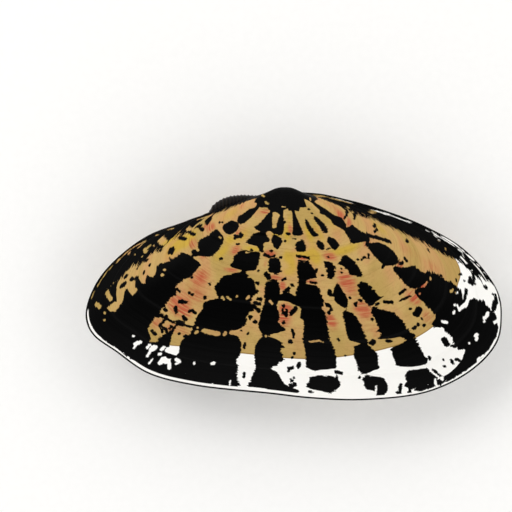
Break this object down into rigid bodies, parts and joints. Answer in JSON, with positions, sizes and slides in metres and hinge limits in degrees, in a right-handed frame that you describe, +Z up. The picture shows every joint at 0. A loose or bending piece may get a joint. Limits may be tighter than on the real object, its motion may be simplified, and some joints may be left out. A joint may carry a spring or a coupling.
{
  "type": "clam shell",
  "caption": "Closed oval clam shell: two low domed valves with growth bands and dark rays, joined by a ridged ligament behind the beak.",
  "frame": {"origin": "on the surface that the shell lies on, under the middle of the shell's box", "axes": "+X to the front end of the shell, +Y to the hinge side, +Z up out of the right valve; the valves meet in a horizontal plane"},
  "size_m": [0.0638, 0.0326, 0.015],
  "materials": {
    "shell": "satin",
    "ligament": "satin"
  },
  "bodies": {
    "root": {"right_valve": "shell", "left_valve": "shell", "ligament": "ligament"}
  },
  "joints": []
}
